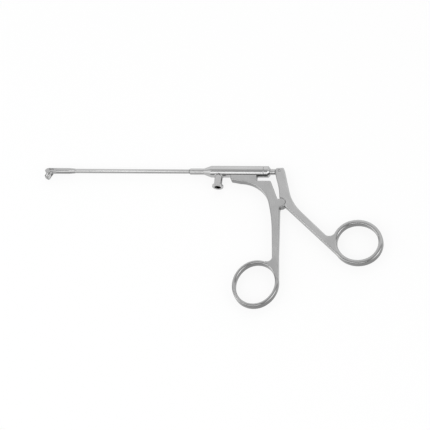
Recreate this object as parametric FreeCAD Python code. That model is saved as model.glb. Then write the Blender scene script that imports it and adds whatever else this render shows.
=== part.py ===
import FreeCAD, Part
import math
import os

# Antrum punch, in millimetres. While it is built, X runs along the barrel toward the hand,
# Y from the rings up to the barrel and Z through the thickness of the handles. The barrel's
# axis is Y 0 and Z 0, and every X is counted from the same mark over the saddle. At the end
# the whole part is set down on Z 0 with X and Y 0 in the middle of its footprint.

# Barrel and what closes it
BARREL_R = 3.75
BARREL_FRONT = -18.1
BARREL_REAR = 15.8
NOSE_CONE = 4.8
CHAMBER_R = 1.9
CHAMBER_END = -3.0
PACKING_R = 2.9
SEAL_LENGTH = 3.0
WASHER_LENGTH = 0.8
BUSH_LENGTH = 10.5
CAP_RING = 2.8
CAP_TAPER = 1.1
CAP_TIP_R = 2.5
EDGE_BREAK = 0.25

# Long tube and the sleeves on it
TUBE_R = 1.4
TUBE_BORE_R = 0.95
TUBE_INSERT = 2.1
COLLAR_R = 2.0
COLLAR_LENGTH = 9.0
HOUSING_R = 1.85
HOUSING_FRONT = -123.4
HOUSING_LENGTH = 13.2
HOUSING_TAPER = 3.8
HOUSING_LIP = 0.12
SOCKET_DEPTH = 5.5

# Rods
PULL_R = 0.8
DRIVE_R = 1.85
DRIVE_FRONT = 1.8
DRIVE_SOCKET = 6.0
SPIGOT_R = 0.5
SPIGOT_LENGTH = 2.0

# Flushing port
PORT_X = -13.1
PORT_R = 2.6
PORT_FLANGE_R = 3.6
PORT_FLANGE = 1.5
PORT_REACH = 11.0
PORT_BORE_R = 2.1
PORT_FLOOR = 0.65
PORT_NIPPLE_R = 1.5
PORT_NIPPLE = 1.3
PORT_CHANNEL_R = 0.9

# Jaw and its drive
PIVOT_SETBACK = 1.7
PIVOT_Y = -1.13
PIVOT_R = 0.4
CRANK = 1.73
JAW_SWING = 60.6
JAW_OVER = 3.2
JAW_CHEEK = 0.55
JAW_LENGTH = 5.1
JAW_RIM = 2.0
JAW_BACK = 1.05
JAW_TOE = 0.65
JAW_CORNER = 1.1
WINDOW_START = 1.9
WINDOW_R = 0.85
WINDOW_LIFT = 0.5
LUG_R = 0.76
HEEL_R = 0.95
DRIVE_PIN_R = 0.35
BLADE = 0.9
BLADE_HEIGHT = 1.5
FLAT_LENGTH = 4.9
BOSS_R = 0.85
NOSE_LENGTH = 2.5
NOSE_WIDTH = 1.8
NOSE_TOP = 1.55
NOSE_FLOOR = -1.0

# Handles. A ring's four numbers are its centre, the turn of its long axis and its band's width.
HANDLE = 4.8
SHANK_EDGE = 0.3
RING_EDGE_R = 1.0
RING_MAJOR = 15.0
RING_MINOR = 13.7
RING_TIGHTENING = 0.8
FRONT_RING = (17.9, -78.6, 84.4, 2.3)
REAR_RING = (80.75, -49.25, -25.6, 2.9)
HINGE_X = 28.9
HINGE_Y = -22.4
KNUCKLE_R = 3.1
LEVER_PIN_X = 26.0
LEVER_PIN_Y = -0.4
LEVER_PIN_R = 0.8
EYE_R = 1.45
EYE_THICK = 2.0
ROD_SHOULDER = 3.0
FORK_DEPTH = 1.8
SCREW_R = 1.5
SCREW_HEAD_R = 2.2
SCREW_HEAD = 1.0
SCREW_DEPTH = 1.8
SCREW_SLOT = 0.6

# Clearances
SLIDE = 0.05
LAP = 0.1
PIN_PLAY = 0.07
EYE_PLAY = 0.15
CHEEK_PLAY = 0.05
PASS = 0.5

# Places that follow from the sizes above
nose_start = BARREL_FRONT - NOSE_CONE
collar_start = nose_start - COLLAR_LENGTH
tube_end = BARREL_FRONT + TUBE_INSERT
housing_end = HOUSING_FRONT + HOUSING_LENGTH + HOUSING_TAPER
tube_start = housing_end - SOCKET_DEPTH
flats_end = HOUSING_FRONT + FLAT_LENGTH
seal_end = CHAMBER_END + SEAL_LENGTH
washer_end = seal_end + WASHER_LENGTH
bush_end = washer_end + BUSH_LENGTH
cap_end = BARREL_REAR + CAP_RING
pivot_x = HOUSING_FRONT + PIVOT_SETBACK
half_swing = math.radians(JAW_SWING / 2)
half_stroke = CRANK * math.tan(half_swing)
drive_y = PIVOT_Y + CRANK
crank_reach = CRANK / math.cos(half_swing)
drive_x = pivot_x - half_stroke
blade_front = drive_x - BLADE_HEIGHT / 2
slot_front = blade_front - 2 * SLIDE
tongue_start = flats_end + 2 * half_stroke + PASS
tongue_end = tube_start + SPIGOT_LENGTH
cheek_inner = JAW_OVER / 2 - JAW_CHEEK
flat_z = cheek_inner - CHEEK_PLAY
handle_z = HANDLE / 2
port_bore_depth = PORT_REACH - BARREL_R - PORT_FLOOR
blade_end = flats_end - PASS - SLIDE
slot_end = blade_end + 2 * half_stroke + PASS


def vec(x, y, z=0.0):
    return FreeCAD.Vector(x, y, z)


def turned(points):
    """A solid turned about the barrel's axis from places along X and radii."""
    outline = [vec(x, r) for x, r in points]
    face = Part.Face(Part.makePolygon(outline + outline[:1]))
    return face.revolve(vec(0, 0), vec(1, 0), 360)


def along_x(start, end, radius):
    return Part.makeCylinder(radius, end - start, vec(start, 0), vec(1, 0))


def along_z(x, y, low, high, radius):
    return Part.makeCylinder(radius, high - low, vec(x, y, low), vec(0, 0, 1))


def block(x0, x1, y0, y1, z0, z1):
    return Part.makeBox(x1 - x0, y1 - y0, z1 - z0, vec(x0, y0, z0))


def plate(edges, half):
    """A flat plate of a closed outline, as thick on one side of the middle as on the other."""
    face = Part.Face(Part.Wire(edges))
    face.translate(vec(0, 0, -half))
    return face.extrude(vec(0, 0, 2 * half))


def straight(*points):
    """Straight edges through the points."""
    return [Part.LineSegment(vec(*a), vec(*b)).toShape() for a, b in zip(points, points[1:])]


def bent(start, middle, end):
    """One round edge through three points."""
    return [Part.Arc(vec(*start), vec(*middle), vec(*end)).toShape()]


def obround_z(x, y, half_run, radius, half, upright=False):
    """A slot-shaped prism across the thickness, long along X or, upright, along Y."""
    dx, dy = (0, half_run) if upright else (half_run, 0)
    prism = along_z(x - dx, y - dy, -half, half, radius)
    prism = prism.fuse(along_z(x + dx, y + dy, -half, half, radius))
    wide, high = (radius, half_run) if upright else (half_run, radius)
    prism = prism.fuse(block(x - wide, x + wide, y - high, y + high, -half, half))
    return prism.removeSplitter()


def sheath_tube():
    return along_x(tube_start, tube_end, TUBE_R).cut(along_x(tube_start, tube_end, TUBE_BORE_R))


def collar():
    shell = turned([(collar_start, 0), (collar_start, COLLAR_R - EDGE_BREAK),
                    (collar_start + EDGE_BREAK, COLLAR_R), (nose_start, COLLAR_R), (nose_start, 0)])
    return shell.cut(along_x(collar_start, nose_start, TUBE_R))


def port_cylinder(top, bottom, radius):
    return Part.makeCylinder(radius, top - bottom, vec(PORT_X, bottom, 0), vec(0, 1, 0))


def barrel():
    shell = turned([(nose_start, 0), (nose_start, COLLAR_R), (BARREL_FRONT, BARREL_R),
                    (BARREL_REAR - EDGE_BREAK, BARREL_R), (BARREL_REAR, BARREL_R - EDGE_BREAK),
                    (BARREL_REAR, 0)])
    shell = shell.cut(along_x(nose_start, tube_end, TUBE_R))
    shell = shell.cut(along_x(tube_end, CHAMBER_END, CHAMBER_R))
    shell = shell.cut(along_x(CHAMBER_END, BARREL_REAR, PACKING_R))
    return shell.cut(port_cylinder(0, -BARREL_R, PORT_NIPPLE_R))


def flush_port():
    flange_top = -PORT_REACH + PORT_FLANGE
    port = port_cylinder(-PORT_NIPPLE_R, flange_top, PORT_R)
    port = port.fuse(port_cylinder(flange_top, -PORT_REACH, PORT_FLANGE_R))
    rims = [e for e in port.Edges if e.BoundBox.YLength < 1e-6 and e.BoundBox.XLength > 2 * PORT_R + 1e-3]
    port = port.makeChamfer(EDGE_BREAK, rims)
    port = port.cut(along_x(nose_start, BARREL_REAR, BARREL_R))
    port = port.fuse(port_cylinder(PORT_NIPPLE - BARREL_R, -BARREL_R - PORT_FLOOR / 2, PORT_NIPPLE_R))
    port = port.cut(port_cylinder(-PORT_REACH + port_bore_depth, -PORT_REACH, PORT_BORE_R))
    return port.cut(port_cylinder(0, -PORT_REACH, PORT_CHANNEL_R)).removeSplitter()


def packing(start, length, bore):
    """One of the rings that lie behind each other in the barrel's rear bore."""
    ring = along_x(start, start + length, PACKING_R)
    return ring.cut(along_x(start, start + length, bore))


def end_cap():
    cap = turned([(bush_end, 0), (bush_end, PACKING_R), (BARREL_REAR, PACKING_R),
                  (BARREL_REAR, BARREL_R - EDGE_BREAK), (BARREL_REAR + EDGE_BREAK, BARREL_R),
                  (cap_end, BARREL_R), (cap_end + CAP_TAPER, CAP_TIP_R), (cap_end + CAP_TAPER, 0)])
    return cap.cut(along_x(bush_end, cap_end + CAP_TAPER, DRIVE_R + SLIDE))


def tip_housing():
    lip = TUBE_R + HOUSING_LIP
    shoulder = HOUSING_FRONT + HOUSING_LENGTH
    body = turned([(HOUSING_FRONT, 0), (HOUSING_FRONT, HOUSING_R), (shoulder, HOUSING_R),
                   (housing_end, lip), (housing_end, 0)])
    far = 2 * HOUSING_R
    for side in (-1, 1):
        low, high = sorted((side * flat_z, side * far))
        body = body.cut(block(HOUSING_FRONT - PASS, flats_end, -far, far, low, high))
    body = body.fuse(along_z(pivot_x, PIVOT_Y, -flat_z, flat_z, BOSS_R))
    body = body.fuse(fixed_nose())
    body = body.cut(along_x(flats_end - PASS, housing_end, TUBE_BORE_R))
    body = body.cut(along_x(tube_start, housing_end, TUBE_R))
    floor = drive_y - BLADE_HEIGHT / 2 - SLIDE
    body = body.cut(block(slot_front, slot_end, floor, far, -BLADE / 2 - SLIDE, BLADE / 2 + SLIDE))
    body = body.cut(obround_z(pivot_x, drive_y, half_stroke + PIN_PLAY, DRIVE_PIN_R + PIN_PLAY, far))
    return body.cut(along_z(pivot_x, PIVOT_Y, -far, far, PIVOT_R)).removeSplitter()


def fixed_nose():
    """The male nose that stays still while the jaw closes round it."""
    tip = HOUSING_FRONT - NOSE_LENGTH
    back = HOUSING_FRONT + PASS
    edges = straight((back, NOSE_FLOOR), (back, NOSE_TOP), (tip + 1.9, NOSE_TOP))
    edges += bent((tip + 1.9, NOSE_TOP), (tip + 0.6, 0.9), (tip, -0.1))
    edges += bent((tip, -0.1), (tip + 0.2, -0.7), (tip + 0.8, NOSE_FLOOR))
    edges += straight((tip + 0.8, NOSE_FLOOR), (back, NOSE_FLOOR))
    return plate(edges, NOSE_WIDTH / 2)


def jaw():
    """The jaw, shaped as when it is closed and then swung open about its pivot."""
    rim = PIVOT_Y + JAW_RIM
    back = PIVOT_Y - JAW_BACK
    toe = pivot_x - JAW_LENGTH
    neck = pivot_x - HEEL_R
    edges = straight((neck, rim), (toe + JAW_CORNER, rim))
    edges += bent((toe + JAW_CORNER, rim), (toe + 0.3 * JAW_CORNER, rim - 0.3 * JAW_CORNER),
                  (toe, rim - JAW_CORNER))
    edges += straight((toe, rim - JAW_CORNER), (toe, back + JAW_CORNER))
    edges += bent((toe, back + JAW_CORNER), (toe + 0.3 * JAW_CORNER, back + 0.3 * JAW_CORNER),
                  (toe + JAW_CORNER, back))
    edges += straight((toe + JAW_CORNER, back), (pivot_x, back), (pivot_x, PIVOT_Y), (neck, rim))
    half = JAW_OVER / 2
    body = plate(edges, half).fuse(along_z(pivot_x, PIVOT_Y, -half, half, HEEL_R))
    lug = obround_z(pivot_x, PIVOT_Y + crank_reach / 2, crank_reach / 2, LUG_R, half, True)
    play = DRIVE_PIN_R + PIN_PLAY
    track = obround_z(pivot_x, PIVOT_Y + (CRANK + crank_reach) / 2, (crank_reach - CRANK) / 2 + PIN_PLAY,
                      play, half + PASS, True)
    for piece in (lug, track):
        piece.rotate(vec(pivot_x, PIVOT_Y), vec(0, 0, 1), -JAW_SWING / 2)
    body = body.fuse(lug).removeSplitter()
    body = body.common(jaw_plan())
    far = 2 * HOUSING_R
    body = body.cut(block(toe + JAW_TOE, pivot_x + far, -far, far, -cheek_inner, cheek_inner))
    window_end = JAW_LENGTH - JAW_TOE - WINDOW_R
    window = obround_z(pivot_x - (WINDOW_START + window_end) / 2, PIVOT_Y + WINDOW_LIFT,
                       (window_end - WINDOW_START) / 2, WINDOW_R, half + PASS)
    body = body.cut(window).cut(track)
    body = body.cut(along_z(pivot_x, PIVOT_Y, -half, half, PIVOT_R + SLIDE))
    body.rotate(vec(pivot_x, PIVOT_Y), vec(0, 0, 1), JAW_SWING)
    return body


def jaw_plan():
    """The jaw as seen along its depth: straight cheeks and a round toe."""
    far = 2 * HOUSING_R
    toe = pivot_x - JAW_LENGTH
    half = JAW_OVER / 2
    inner = half - JAW_CORNER
    plan = block(toe + JAW_CORNER, pivot_x + far, -far, far, -half, half)
    plan = plan.fuse(block(toe, pivot_x, -far, far, -inner, inner))
    for side in (-inner, inner):
        corner = Part.makeCylinder(JAW_CORNER, 2 * far, vec(toe + JAW_CORNER, -far, side), vec(0, 1, 0))
        plan = plan.fuse(corner)
    return plan.removeSplitter()


def cross_pin(x, y, half, radius):
    """A pin across the thickness with its rims broken."""
    pin = along_z(x, y, -half, half, radius)
    return pin.makeChamfer(radius / 4, [e for e in pin.Edges if e.Closed])


def rod_tongue():
    root = along_x(tongue_start, tongue_end, TUBE_BORE_R - SLIDE)
    root = root.cut(along_x(tongue_end - SPIGOT_LENGTH, tongue_end, SPIGOT_R))
    low = drive_y - BLADE_HEIGHT / 2
    half = BLADE / 2
    blade = block(drive_x, tongue_start + PASS, low, low + BLADE_HEIGHT, -half, half)
    blade = blade.common(along_x(flats_end - 2 * PASS, tongue_start + PASS, TUBE_BORE_R - SLIDE).fuse(
        block(drive_x, blade_end, low, low + BLADE_HEIGHT, -half, half)))
    blade = blade.fuse(along_z(drive_x, drive_y, -half, half, BLADE_HEIGHT / 2))
    tongue = root.fuse(blade)
    return tongue.cut(along_z(drive_x, drive_y, -half, half, DRIVE_PIN_R)).removeSplitter()


def pull_rod():
    rod = along_x(tongue_end, DRIVE_FRONT + DRIVE_SOCKET, PULL_R)
    return rod.fuse(along_x(tongue_end - SPIGOT_LENGTH, tongue_end, SPIGOT_R))


def drive_rod():
    shoulder = LEVER_PIN_X - ROD_SHOULDER
    rod = along_x(DRIVE_FRONT, shoulder, DRIVE_R)
    rod = rod.cut(along_x(DRIVE_FRONT, DRIVE_FRONT + DRIVE_SOCKET, PULL_R))
    half = EYE_THICK / 2
    neck = along_x(shoulder - PASS, LEVER_PIN_X, DRIVE_R)
    neck = neck.common(block(shoulder - PASS, LEVER_PIN_X, -DRIVE_R, LEVER_PIN_Y + EYE_R, -half, half))
    eye = along_z(LEVER_PIN_X, LEVER_PIN_Y, -half, half, EYE_R)
    rod = rod.fuse(neck).fuse(eye)
    hole = obround_z(LEVER_PIN_X, LEVER_PIN_Y + EYE_PLAY / 2, EYE_PLAY, LEVER_PIN_R + SLIDE, half + PASS, True)
    return rod.cut(hole).removeSplitter()


def long_edges(body):
    """The edges that run round a flat forging, above and below."""
    def runs_round(edge):
        return edge.BoundBox.ZLength < HANDLE / 4 and abs(edge.CenterOfMass.z) > HANDLE / 4
    return [edge for edge in body.Edges if runs_round(edge)]


def ring_section(middle, half):
    """A ring's section at a distance from its arc's centre, its corners rounded in three flats."""
    points = []
    for side, up in ((1, 1), (-1, 1), (-1, -1), (1, -1)):
        corner = []
        for turn in (0, 30, 60, 90):
            out = half - RING_EDGE_R + RING_EDGE_R * math.cos(math.radians(turn))
            rise = handle_z - RING_EDGE_R + RING_EDGE_R * math.sin(math.radians(turn))
            corner.append(vec(middle + side * out, 0, up * rise))
        points += corner if side == up else corner[::-1]
    return Part.Face(Part.makePolygon(points + points[:1]))


def finger_ring(ring):
    """A ring of two tight and two wide arcs that flow into each other."""
    x, y, angle, width = ring
    end_r = RING_MINOR - RING_TIGHTENING
    end = RING_MAJOR - end_r
    side_r = (end ** 2 + RING_MINOR ** 2 - end_r ** 2) / (2 * RING_TIGHTENING)
    lean = math.degrees(math.atan2(side_r - RING_MINOR, end))
    loop = None
    for turn in (0, 180):
        tight = ring_section(end_r, width / 2)
        tight.rotate(vec(0, 0), vec(0, 0, 1), -lean)
        tight = tight.revolve(vec(0, 0), vec(0, 0, 1), 2 * lean)
        tight.translate(vec(end, 0))
        wide = ring_section(side_r, width / 2)
        wide.rotate(vec(0, 0), vec(0, 0, 1), lean)
        wide = wide.revolve(vec(0, 0), vec(0, 0, 1), 180 - 2 * lean)
        wide.translate(vec(0, RING_MINOR - side_r))
        for piece in (tight, wide):
            piece.rotate(vec(0, 0), vec(0, 0, 1), turn)
            loop = loop.fuse(piece) if loop else piece
    loop.rotate(vec(0, 0), vec(0, 0, 1), angle)
    loop.translate(vec(x, y))
    return loop


def forging(outline, ring):
    """A shank with its knuckle and broken edges, and its well rounded finger ring."""
    shank = plate(outline, handle_z).fuse(knuckle(-handle_z, handle_z, KNUCKLE_R)).removeSplitter()
    shank = shank.makeChamfer(SHANK_EDGE, long_edges(shank))
    return shank.fuse(finger_ring(ring))


def knuckle(low, high, radius):
    return along_z(HINGE_X, HINGE_Y, low, high, radius)


def front_outline():
    edges = straight((11.6, -7.2), (11.6, 0), (-5.6, 0), (-5.0, -5.6))
    edges += bent((-5.0, -5.6), (-4.6, -6.4), (-3.7, -6.65))
    edges += straight((-3.7, -6.65), (1.3, -7.6))
    edges += bent((1.3, -7.6), (15.4, -13.4), (21.2, -22.85))
    edges += bent((21.2, -22.85), (23.7, -32.8), (25.2, -43.0))
    edges += straight((25.2, -43.0), (27.0, -60.0))
    edges += bent((27.0, -60.0), (26.2, -62.4), (22.9, -63.1))
    edges += straight((22.9, -63.1), (23.4, -64.9), (28.3, -69.4), (31.0, -75.5), (32.4, -76.0))
    edges += straight((32.4, -76.0), (30.6, -57.4), (28.4, -27.0))
    edges += straight((28.4, -27.0), (HINGE_X, HINGE_Y), (26.1, -19.0), (21.4, -8.2))
    edges += bent((21.4, -8.2), (20.9, -7.45), (20.0, -7.2))
    return edges + straight((20.0, -7.2), (11.6, -7.2))


def front_handle():
    body = forging(front_outline(), FRONT_RING)
    body = body.cut(along_x(nose_start, cap_end, BARREL_R))
    body = body.cut(knuckle(-HANDLE, LAP / 2, KNUCKLE_R + LAP))
    return body.cut(knuckle(-LAP, SCREW_DEPTH, SCREW_R))


def rear_outline():
    edges = bent((23.5, 0.8), (23.8, 1.5), (24.5, 1.8))
    edges += straight((24.5, 1.8), (28.0, 1.95))
    edges += bent((28.0, 1.95), (28.5, 1.8), (28.75, 1.4))
    edges += straight((28.75, 1.4), (33.3, -13.9))
    edges += bent((33.3, -13.9), (37.2, -22.0), (43.2, -29.1))
    edges += straight((43.2, -29.1), (59.9, -44.7))
    edges += bent((59.9, -44.7), (63.0, -45.3), (66.0, -42.6))
    edges += straight((66.0, -42.6), (67.4, -43.3), (66.6, -51.0), (69.0, -56.6), (67.8, -57.4))
    edges += straight((67.8, -57.4), (33.6, -26.2), (HINGE_X, HINGE_Y))
    edges += straight((HINGE_X, HINGE_Y), (27.8, -18.6))
    edges += bent((27.8, -18.6), (26.95, -13.2), (25.0, -7.0))
    return edges + bent((25.0, -7.0), (23.95, -3.3), (23.5, 0.8))


def rear_handle():
    body = forging(rear_outline(), REAR_RING)
    body = body.cut(knuckle(-LAP / 2, HANDLE, KNUCKLE_R + LAP))
    body = body.cut(knuckle(-HANDLE, HANDLE, SCREW_R + SLIDE))
    body = body.cut(knuckle(-HANDLE, SCREW_HEAD - handle_z + SLIDE, SCREW_HEAD_R + SLIDE))
    fork = EYE_THICK / 2 + SLIDE
    low = LEVER_PIN_Y - EYE_R - PASS
    body = body.cut(block(LEVER_PIN_X - HANDLE, LEVER_PIN_X + FORK_DEPTH, low, HANDLE, -fork, fork))
    return body.cut(along_z(LEVER_PIN_X, LEVER_PIN_Y, -HANDLE, HANDLE, LEVER_PIN_R))


def hinge_screw():
    head = knuckle(-handle_z, SCREW_HEAD - handle_z, SCREW_HEAD_R)
    screw = head.fuse(knuckle(-handle_z, SCREW_DEPTH, SCREW_R)).removeSplitter()
    slot = block(HINGE_X - HANDLE, HINGE_X + HANDLE, HINGE_Y - SCREW_SLOT / 2, HINGE_Y + SCREW_SLOT / 2,
                 -handle_z, -handle_z + SCREW_SLOT)
    return screw.cut(slot)


PARTS = {
    "tip_housing": tip_housing(),
    "jaw": jaw(),
    "jaw_pivot_pin": cross_pin(pivot_x, PIVOT_Y, JAW_OVER / 2, PIVOT_R),
    "drive_pin": cross_pin(drive_x, drive_y, JAW_OVER / 2, DRIVE_PIN_R),
    "rod_tongue": rod_tongue(),
    "pull_rod": pull_rod(),
    "sheath_tube": sheath_tube(),
    "collar": collar(),
    "barrel": barrel(),
    "flush_port": flush_port(),
    "rod_seal": packing(CHAMBER_END, SEAL_LENGTH, PULL_R + SLIDE / 2),
    "seal_washer": packing(seal_end, WASHER_LENGTH, PULL_R + SLIDE),
    "guide_bush": packing(washer_end, BUSH_LENGTH, DRIVE_R + SLIDE),
    "end_cap": end_cap(),
    "drive_rod": drive_rod(),
    "front_handle": front_handle(),
    "rear_handle": rear_handle(),
    "lever_pin": cross_pin(LEVER_PIN_X, LEVER_PIN_Y, handle_z, LEVER_PIN_R),
    "hinge_screw": hinge_screw(),
}

# The part is set down on its lowest point, with its footprint centred on the origin.
whole = FreeCAD.BoundBox()
for shape in PARTS.values():
    whole.add(shape.optimalBoundingBox(False))
shift = vec(-whole.Center.x, -whole.Center.y, -whole.ZMin)
os.makedirs("parts", exist_ok=True)
for name, shape in PARTS.items():
    shape.translate(shift)
    shape.exportStep("parts/" + name + ".step")
    print(name, len(shape.Solids), round(shape.Volume, 2), shape.isValid())
print("size", round(whole.XLength, 2), round(whole.YLength, 2), round(whole.ZLength, 2))
print("shift", round(shift.x, 3), round(shift.y, 3), round(shift.z, 3))
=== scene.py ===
import bpy
import math
from mathutils import Matrix, Vector


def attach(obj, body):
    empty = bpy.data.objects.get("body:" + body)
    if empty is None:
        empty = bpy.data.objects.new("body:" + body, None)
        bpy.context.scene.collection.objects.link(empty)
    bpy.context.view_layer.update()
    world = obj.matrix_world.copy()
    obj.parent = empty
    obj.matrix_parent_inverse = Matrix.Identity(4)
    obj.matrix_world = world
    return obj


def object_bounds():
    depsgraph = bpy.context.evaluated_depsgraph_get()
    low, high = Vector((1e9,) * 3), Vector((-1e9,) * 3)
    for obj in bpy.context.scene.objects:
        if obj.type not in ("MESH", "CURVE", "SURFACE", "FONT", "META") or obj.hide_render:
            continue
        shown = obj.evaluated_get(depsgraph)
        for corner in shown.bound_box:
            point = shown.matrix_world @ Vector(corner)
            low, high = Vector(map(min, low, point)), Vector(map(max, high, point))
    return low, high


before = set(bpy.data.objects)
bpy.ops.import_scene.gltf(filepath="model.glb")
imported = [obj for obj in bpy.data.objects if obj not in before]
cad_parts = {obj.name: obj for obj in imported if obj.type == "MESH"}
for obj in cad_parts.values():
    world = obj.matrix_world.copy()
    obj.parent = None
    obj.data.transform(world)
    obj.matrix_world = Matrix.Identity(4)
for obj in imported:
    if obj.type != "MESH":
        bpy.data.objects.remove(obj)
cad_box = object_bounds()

MM = 0.001

# The photograph's frame, and how the instrument lies in it
FRAME_PIXELS = 430
MM_PER_PIXEL = 0.63
LENS = 900.0
SENSOR = 36.0
CLIP_END = 20.0
LOOKED_AT = Vector((1.35, 15.20, 3.75)) * MM
TOWARD_CAMERA = Vector((0.2116, -0.4225, 0.881)).normalized()
FRAME_RIGHT = Vector((0.977, 0.093, -0.190)).normalized()
ROLL = math.radians(0.25)

# How all the steel is worked: scales and details of its brushing, of slow clouds of tone and of
# handling marks, and the part of each noise that is used
BRUSHING = 2600.0
BRUSHING_DETAIL = 5.0
ALONG_BRUSHING = (0.06, 1.0, 1.0)
CLOUDS = 90.0
CLOUDS_DETAIL = 3.0
MARKS_DETAIL = 8.0
MARKS_PART = (0.58, 0.72)
MARKS_ROUGHEN = 0.06
NOISE_PART = (0.3, 0.7)
ROUGH_SPREAD = (0.85, 1.15)
GRAIN_HEIGHT = 0.00002
EDGE_SAMPLES = 16

# A face counts as a flank by how little it looks up, and flanks are given painted shade
FLANK_SHADE_PART = (0.15, 0.75)
HANDLE_FLANK_SHADE = 0.56

# The handles' rings: their centres, how far they reach, how smooth the hand has polished them, and
# the share their colour is darkened to
FRONT_RING = (0.03235, -0.03311, 0.00375)
REAR_RING = (0.09520, -0.00376, 0.00375)
RING_REACH = 0.0185
RING_FADE = 0.004
RING_ROUGH = 0.12
RING_SHARE = 0.86

# Each steel: its grey and roughness, and where it differs, the way of its brushing in degrees, its
# relief, its spread of tone, its flanks' share of the grey as painted shade, its softened edge in
# metres and its polished ring, whose colour is also darkened
STEELS = {
    "handle_steel": dict(grey=0.43, rough=0.22, turn=-80, flank_shade=HANDLE_FLANK_SHADE, edge=0.0007,
                         ring=FRONT_RING),
    "lever_steel": dict(grey=0.46, rough=0.22, turn=-45, flank_shade=HANDLE_FLANK_SHADE, edge=0.0007,
                        ring=REAR_RING),
    "barrel_steel": dict(grey=0.48, rough=0.17, bump=0.05, spread=0.03),
    "tube_steel": dict(grey=0.47, rough=0.12, bump=0.012, spread=0.03, edge=0.00008),
    "rod_steel": dict(grey=0.47, rough=0.32, bump=0.06, edge=0.0001),
    "tip_steel": dict(grey=0.42, rough=0.10, bump=0.02, spread=0.03, flank_shade=0.8, edge=0.00015),
    "pin_steel": dict(grey=0.34, rough=0.28, bump=0.08),
}

# The plastics: their colour, and what they share
PLASTICS = {
    "seal_white": (0.80, 0.80, 0.76),
    "bush_tan": (0.42, 0.31, 0.18),
}
PLASTIC_ROUGH = 0.55
PLASTIC_SHADE = 0.9
PLASTIC_GRAIN = 900.0
PLASTIC_DETAIL = 3.0
PLASTIC_BUMP = 0.1
PLASTIC_RELIEF = 0.00005

# Which nodes each finish is on
USES = {
    "handle_steel": ("front_handle",),
    "lever_steel": ("rear_handle", "lever_pin"),
    "barrel_steel": ("barrel", "collar", "end_cap", "flush_port"),
    "tube_steel": ("sheath_tube", "pull_rod", "rod_tongue"),
    "rod_steel": ("drive_rod",),
    "tip_steel": ("tip_housing", "jaw"),
    "pin_steel": ("jaw_pivot_pin", "drive_pin", "hinge_screw", "seal_washer"),
    "seal_white": ("rod_seal",),
    "bush_tan": ("guide_bush",),
}

# The solder where the collar ends on the tube, as steps along the tube and radii, in mm
AXIS_Y = 45.495
AXIS_Z = 3.75
COLLAR_END = -17.45
COLLAR_SOLDER = ((-0.55, 1.39), (-0.33, 1.43), (-0.17, 1.52), (-0.06, 1.67),
                 (0.0, 1.85), (0.02, 1.85), (0.02, 1.39))
COLLAR_SIDES = 48

# The solder where the port stands on the barrel, in mm
PORT_X = 1.354
PORT_R = 2.6
BARREL_R = 3.75
SOLDER_BEAD = 0.42
SINK = 0.03
SPARE = 1.0
BEAD_SIDES = 96
BEAD_ROUNDING = 0.85
BEAD_STEPS = 4
BEAD_PROFILE = 0.3

# How near points are merged, in metres, and under what angle faces are shaded as one
MERGED = 0.000002
SMOOTH_UNDER = math.radians(40)

# The table: its size and its gap under the part in metres, its grey, and how far it shines by itself
TABLE_SIZE = 6.0
TABLE_GAP = 0.00002
TABLE_GREY = 0.92
TABLE_GLOW = 0.86

# The studio's greys from the near side, over the top, to the far side. A glow is added at the left
# and right of its near half, and fades out where the near half ends.
STUDIO = ((0.0, 0.28), (0.25, 0.50), (0.5, 0.58), (0.672, 0.64), (0.717, 1.14), (1.0, 1.2))
SIDES = ((0.0, 1.0), (0.17, 0.0), (0.72, 0.0), (1.0, 1.0))
SIDE_GLOW = 4.4
NEAR_HALF = (-0.15, 0.2)

# The lamps: place, point aimed at, size and power. One is for the barrel, one for the thin tube.
LAMPS = {
    "near_soft_lamp": ((-0.27, -0.87, 0.93), (0.0, 0.0, 0.0), (1.5, 0.72), 4.9),
    "tube_soft_lamp": ((-0.128, 0.018, 0.295), (-0.066, 0.045, 0.004), (0.14, 0.055), 0.042),
}


def make_camera():
    """A long lens at the photograph's angle, so that the tube runs level across the frame."""
    data = bpy.data.cameras.new("photo_camera")
    data.lens = LENS
    data.sensor_width = SENSOR
    data.clip_end = CLIP_END
    camera = bpy.data.objects.new("photo_camera", data)
    bpy.context.scene.collection.objects.link(camera)
    width = FRAME_PIXELS * MM_PER_PIXEL * MM
    distance = width * LENS / SENSOR
    up = TOWARD_CAMERA.cross(FRAME_RIGHT)
    turn = Matrix((FRAME_RIGHT, up, TOWARD_CAMERA)).transposed().to_4x4()
    place = Matrix.Translation(LOOKED_AT + TOWARD_CAMERA * distance)
    camera.matrix_world = place @ turn @ Matrix.Rotation(ROLL, 4, "Z")
    bpy.context.scene.camera = camera


def greys(stops):
    """Stops of grey as stops of colour."""
    return [(place, (grey, grey, grey)) for place, grey in stops]


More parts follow.
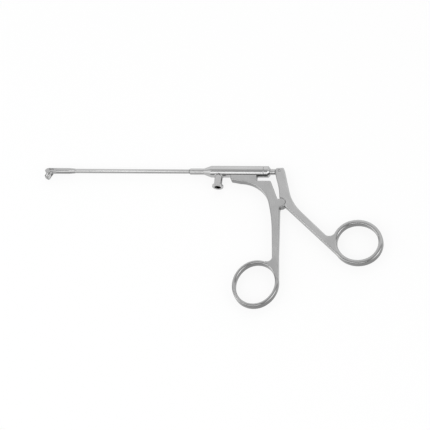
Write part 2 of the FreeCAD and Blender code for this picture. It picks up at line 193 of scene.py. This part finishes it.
class Nodes:
    """Shorthand for adding nodes to a tree and linking them."""

    def __init__(self, tree):
        self.tree = tree

    def put(self, socket, value):
        """Links a socket to an output, or sets it."""
        if isinstance(value, bpy.types.NodeSocket):
            self.tree.links.new(value, socket)
        else:
            socket.default_value = value

    def add(self, kind, **inputs):
        node = self.tree.nodes.new(kind)
        for name, value in inputs.items():
            self.put(node.inputs[name.replace("_", " ")], value)
        return node

    def math(self, operation, *values):
        node = self.add("ShaderNodeMath")
        node.operation = operation
        for socket, value in zip(node.inputs, values):
            self.put(socket, value)
        return node.outputs[0]

    def noise(self, vector, scale, detail):
        node = self.add("ShaderNodeTexNoise", Vector=vector, Scale=scale, Detail=detail)
        return node.outputs["Fac"]

    def mapped(self, value, low, high, to_low, to_high):
        node = self.add("ShaderNodeMapRange", Value=value, From_Min=low, From_Max=high,
                        To_Min=to_low, To_Max=to_high)
        return node.outputs["Result"]

    def mixed(self, way, factor, first, second):
        """Two colours mixed."""
        node = self.add("ShaderNodeMix")
        node.data_type = "RGBA"
        node.blend_type = way
        for name, value in (("Factor", factor), ("A", first), ("B", second)):
            self.put(node.inputs[name], value)
        return node.outputs["Result"]

    def ramp(self, value, stops):
        node = self.add("ShaderNodeValToRGB", Fac=value)
        elements = node.color_ramp.elements
        for place, _ in stops[1:-1]:
            elements.new(place)
        for element, (place, colour) in zip(elements, stops):
            element.position = place
            element.color = (*colour, 1)
        return node.outputs["Color"]


def new_material(name):
    material = bpy.data.materials.new(name)
    material.use_nodes = True
    return material


def brushed_metal_group():
    """Fine brushing along x, slow clouds of tone, handling marks, and which faces are flanks for
    painted shade.
    """
    group = bpy.data.node_groups.new("brushed_metal", "ShaderNodeTree")
    group.interface.new_socket("Vector", in_out="INPUT", socket_type="NodeSocketVector")
    kit = Nodes(group)
    place = kit.add("NodeGroupInput").outputs["Vector"]
    stretched = kit.add("ShaderNodeMapping", Vector=place, Scale=ALONG_BRUSHING).outputs["Vector"]
    marks = kit.noise(stretched, CLOUDS, MARKS_DETAIL)
    # How little each face looks up: the flanks that get painted shade
    facing = kit.add("ShaderNodeTexCoord").outputs["Normal"]
    upright = kit.math("ABSOLUTE", kit.add("ShaderNodeSeparateXYZ", Vector=facing).outputs["Z"])
    results = {
        "Grain": kit.noise(stretched, BRUSHING, BRUSHING_DETAIL),
        "Tone": kit.noise(place, CLOUDS, CLOUDS_DETAIL),
        "Marks": kit.mapped(marks, *MARKS_PART, 0.0, 1.0),
        "FlankShade": kit.mapped(upright, *FLANK_SHADE_PART, 1.0, 0.0),
    }
    for name in results:
        group.interface.new_socket(name, in_out="OUTPUT", socket_type="NodeSocketFloat")
    kit.add("NodeGroupOutput", **results)
    return group


def steel(name, group, grey, rough, turn=0, bump=0.12, spread=0.05, flank_shade=1.0, edge=0.0003,
          ring=None):
    """One finish of stainless steel, as the table of steels says."""
    material = new_material(name)
    kit = Nodes(material.node_tree)
    shader = kit.tree.nodes["Principled BSDF"]
    place = kit.add("ShaderNodeTexCoord").outputs["Object"]
    turned = kit.add("ShaderNodeMapping", Vector=place, Rotation=(0.0, 0.0, -math.radians(turn)))
    effect = kit.add("ShaderNodeGroup")
    effect.node_tree = group
    kit.put(effect.inputs["Vector"], turned.outputs["Vector"])
    grain, tone, marks, flank_shade_mask = [effect.outputs[out] for out in ("Grain", "Tone", "Marks", "FlankShade")]

    both = kit.math("MULTIPLY", kit.math("ADD", grain, tone), 0.5)
    low, high = NOISE_PART
    light = kit.ramp(both, greys(((low, grey - spread), (high, grey + spread))))
    # Painted shade: the flanks' colour is the grey darkened to the flank share
    flank_shade_grey = flank_shade * grey
    colour = kit.mixed("MIX", flank_shade_mask, light, (flank_shade_grey, flank_shade_grey, flank_shade_grey, 1))
    roughness = kit.mapped(grain, *NOISE_PART, *[share * rough for share in ROUGH_SPREAD])
    roughness = kit.math("MULTIPLY_ADD", marks, MARKS_ROUGHEN, roughness)
    if ring:
        away = kit.add("ShaderNodeVectorMath", Vector=place)
        away.operation = "DISTANCE"
        away.inputs[1].default_value = ring
        shank = kit.mapped(away.outputs["Value"], RING_REACH, RING_REACH + RING_FADE, 0.0, 1.0)
        ring_part = kit.mapped(shank, 0.0, 1.0, 1.0, 0.0)
        # The rings' colour is made darker by this share
        colour = kit.mixed("MULTIPLY", ring_part, colour, (RING_SHARE, RING_SHARE, RING_SHARE, 1))
        polish = kit.add("ShaderNodeMix", Factor=shank, A=RING_ROUGH, B=roughness)
        roughness = polish.outputs["Result"]

    soft_edge = kit.add("ShaderNodeBevel", Radius=edge)
    soft_edge.samples = EDGE_SAMPLES
    relief = kit.add("ShaderNodeBump", Strength=bump, Distance=GRAIN_HEIGHT, Height=grain,
                     Normal=soft_edge.outputs["Normal"])
    shader.inputs["Metallic"].default_value = 1.0
    kit.put(shader.inputs["Base Color"], colour)
    kit.put(shader.inputs["Roughness"], roughness)
    kit.put(shader.inputs["Normal"], relief.outputs["Normal"])
    return material


def matt_plastic(name, colour):
    """A machined plastic with a fine grain, for the seal and the bush."""
    material = new_material(name)
    kit = Nodes(material.node_tree)
    shader = kit.tree.nodes["Principled BSDF"]
    place = kit.add("ShaderNodeTexCoord").outputs["Object"]
    tone = kit.noise(place, PLASTIC_GRAIN, PLASTIC_DETAIL)
    shade = [PLASTIC_SHADE * part for part in colour]
    relief = kit.add("ShaderNodeBump", Height=tone, Strength=PLASTIC_BUMP, Distance=PLASTIC_RELIEF)
    shader.inputs["Roughness"].default_value = PLASTIC_ROUGH
    kit.put(shader.inputs["Base Color"], kit.ramp(tone, ((0.0, shade), (1.0, colour))))
    kit.put(shader.inputs["Normal"], relief.outputs["Normal"])
    return material


def start_edit():
    """Puts the new piece's place in its mesh, and opens it with nothing selected."""
    bpy.ops.object.transform_apply(location=True, rotation=True, scale=True)
    bpy.ops.object.mode_set(mode="EDIT")
    bpy.ops.mesh.select_all(action="DESELECT")


def end_edit():
    """Merges what coincides, turns the faces outward and closes the piece."""
    bpy.ops.mesh.select_all(action="SELECT")
    bpy.ops.mesh.remove_doubles(threshold=MERGED)
    bpy.ops.mesh.normals_make_consistent(inside=False)
    bpy.ops.object.mode_set(mode="OBJECT")
    bpy.ops.object.shade_smooth_by_angle(angle=SMOOTH_UNDER)


def collar_solder():
    """A hollow-faced ring of solder where the collar's end meets the tube."""
    x, radius = COLLAR_SOLDER[0]
    centre = Vector((COLLAR_END + x, AXIS_Y, AXIS_Z)) * MM
    bpy.ops.object.select_all(action="DESELECT")
    bpy.ops.mesh.primitive_circle_add(vertices=COLLAR_SIDES, radius=radius * MM, location=centre,
                                      rotation=(0, math.pi / 2, 0))
    piece = bpy.context.object
    piece.name = "collar_solder"
    start_edit()
    bpy.ops.mesh.select_all(action="SELECT")
    for next_x, next_radius in COLLAR_SOLDER[1:] + COLLAR_SOLDER[:1]:
        step = (next_x - x) * MM
        centre.x += step
        bpy.ops.mesh.extrude_edges_move(TRANSFORM_OT_translate={"value": (step, 0, 0)})
        share = next_radius / radius
        bpy.ops.transform.resize(value=(1, share, share), center_override=centre)
        x, radius = next_x, next_radius
    end_edit()
    return piece


def rod_between(name, radius, start, end):
    """A cylinder from one point to another, in mm, to cut from or to cut with."""
    start, end = Vector(start) * MM, Vector(end) * MM
    along = end - start
    bpy.ops.object.select_all(action="DESELECT")
    bpy.ops.mesh.primitive_cylinder_add(vertices=BEAD_SIDES, radius=radius * MM, depth=along.length,
                                        location=(start + end) / 2,
                                        rotation=along.to_track_quat("Z", "Y").to_euler())
    rod = bpy.context.object
    rod.name = name
    return rod


def on_rim(point, reach):
    """Whether a point lies on the bead's outer top edge."""
    from_port = math.hypot(point.x - PORT_X, point.z - AXIS_Z)
    from_barrel = math.hypot(point.y - AXIS_Y, point.z - AXIS_Z)
    return abs(from_port - reach) < SINK and abs(from_barrel - BARREL_R - SOLDER_BEAD) < SINK


def port_solder():
    """A bead of solder that follows the barrel's curve round the foot of the flushing port."""
    reach = PORT_R + SOLDER_BEAD
    ends = [(PORT_X + way * (reach + SPARE), AXIS_Y, AXIS_Z) for way in (-1, 1)]
    foot = [(PORT_X, AXIS_Y - down, AXIS_Z) for down in (SPARE, BARREL_R + 2 * SPARE)]
    piece = rod_between("port_solder", BARREL_R + SOLDER_BEAD, *ends)
    tools = [(rod_between("bead_outside", reach, *foot), "INTERSECT"),
             (rod_between("barrel_inside", BARREL_R - SINK, *ends), "DIFFERENCE"),
             (rod_between("port_inside", PORT_R - SINK, *foot), "DIFFERENCE")]
    for tool, way in tools:
        cut = piece.modifiers.new(tool.name, "BOOLEAN")
        cut.operation = way
        cut.object = tool
        bpy.ops.object.select_all(action="DESELECT")
        bpy.context.view_layer.objects.active = piece
        piece.select_set(True)
        bpy.ops.object.modifier_apply(modifier=cut.name)
        bpy.data.objects.remove(tool)
    start_edit()
    bpy.ops.mesh.select_mode(type="EDGE")
    bpy.ops.object.mode_set(mode="OBJECT")
    mesh = piece.data
    for edge in mesh.edges:
        edge.select = all(on_rim(mesh.vertices[v].co / MM, reach) for v in edge.vertices)
    bpy.ops.object.mode_set(mode="EDIT")
    bpy.ops.mesh.bevel(offset=BEAD_ROUNDING * SOLDER_BEAD * MM, segments=BEAD_STEPS,
                       profile=BEAD_PROFILE)
    end_edit()
    return piece


def add_solder(material):
    for piece in (collar_solder(), port_solder()):
        piece.data.materials.clear()
        piece.data.materials.append(material)
        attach(piece, "frame")


def finish_nodes():
    """Gives every CAD node its finish, and adds the solder in the barrel's."""
    brushed = brushed_metal_group()
    finishes = {name: steel(name, brushed, **values) for name, values in STEELS.items()}
    for name, colour in PLASTICS.items():
        finishes[name] = matt_plastic(name, colour)
    for name, nodes in USES.items():
        for node in nodes:
            for slot in bpy.data.objects[node].material_slots:
                slot.material = finishes[name]
    add_solder(finishes["barrel_steel"])


def make_floor():
    """A white table that stays white to the camera and in the metal, and takes a soft shadow."""
    bpy.ops.object.select_all(action="DESELECT")
    bpy.ops.mesh.primitive_plane_add(size=TABLE_SIZE, location=(0, 0, cad_box[0][2] - TABLE_GAP))
    floor = bpy.context.object
    floor.name = "table"
    material = new_material("white_table")
    kit = Nodes(material.node_tree)
    kit.tree.nodes.remove(kit.tree.nodes["Principled BSDF"])
    cloth = kit.add("ShaderNodeBsdfDiffuse", Color=(TABLE_GREY, TABLE_GREY, TABLE_GREY, 1))
    glow = kit.add("ShaderNodeEmission", Color=(1, 1, 1, 1), Strength=1.0)
    path = kit.add("ShaderNodeLightPath").outputs
    seen = kit.math("MAXIMUM", path["Is Camera Ray"], path["Is Glossy Ray"])
    seen = kit.math("MAXIMUM", seen, path["Is Transmission Ray"])
    mixed = kit.add("ShaderNodeMixShader", Fac=kit.mapped(seen, 0.0, 1.0, 0.0, TABLE_GLOW))
    kit.put(mixed.inputs[1], cloth.outputs[0])
    kit.put(mixed.inputs[2], glow.outputs[0])
    kit.put(kit.tree.nodes["Material Output"].inputs["Surface"], mixed.outputs[0])
    floor.data.materials.append(material)


def make_world():
    """A studio bright beyond the instrument and dark on the near side, for the metal to show."""
    world = bpy.data.worlds.new("studio")
    bpy.context.scene.world = world
    world.use_nodes = True
    world.node_tree.nodes.clear()
    kit = Nodes(world.node_tree)
    direction = kit.add("ShaderNodeTexCoord").outputs["Generated"]
    parts = kit.add("ShaderNodeSeparateXYZ", Vector=direction).outputs
    colour = kit.ramp(kit.mapped(parts["Y"], -1.0, 1.0, 0.0, 1.0), greys(STUDIO))
    sides = kit.ramp(kit.mapped(parts["X"], -1.0, 1.0, 0.0, 1.0), greys(SIDES))
    near = kit.mapped(parts["Y"], *NEAR_HALF, SIDE_GLOW, 0.0)
    strength = kit.math("MULTIPLY_ADD", sides, near, 1.0)
    sky = kit.add("ShaderNodeBackground", Color=colour, Strength=strength)
    kit.add("ShaderNodeOutputWorld", Surface=sky.outputs[0])


def soft_light(name, place, aim, size, power):
    """A rectangular lamp that the camera doesn't see."""
    data = bpy.data.lights.new(name, "AREA")
    data.shape = "RECTANGLE"
    data.size, data.size_y = size
    data.energy = power
    lamp = bpy.data.objects.new(name, data)
    bpy.context.scene.collection.objects.link(lamp)
    lamp.location = place
    lamp.rotation_euler = (Vector(aim) - Vector(place)).to_track_quat("-Z", "Y").to_euler()
    lamp.visible_camera = False


def main():
    bpy.context.scene.view_settings.view_transform = "Standard"
    make_camera()
    make_world()
    for name, values in LAMPS.items():
        soft_light(name, *values)
    make_floor()
    finish_nodes()


main()
